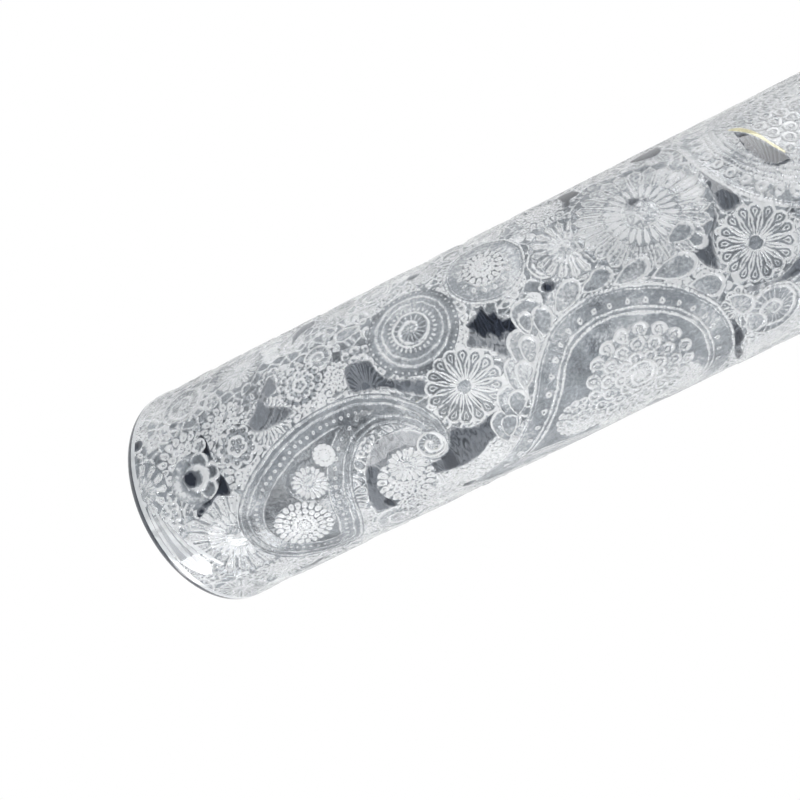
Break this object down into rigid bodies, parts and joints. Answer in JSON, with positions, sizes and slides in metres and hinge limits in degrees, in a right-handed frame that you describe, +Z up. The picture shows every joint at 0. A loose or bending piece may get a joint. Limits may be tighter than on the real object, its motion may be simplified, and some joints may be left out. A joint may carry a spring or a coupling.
{
  "type": "clay texture roller",
  "caption": "Solid clear acrylic rod engraved all round with a paisley pattern. Rolled over soft clay by hand, it leaves the pattern in the surface.",
  "frame": {"origin": "middle of the rod, on its axis", "axes": "+X along the rod, +Z up when the rod lies on a table, +Y across it"},
  "size_m": [0.165, 0.025, 0.025],
  "materials": {
    "clear_acrylic": "polished clear acrylic with satin engraved lines"
  },
  "bodies": {
    "root": {"texture_roller_rod": "clear_acrylic"}
  },
  "joints": []
}
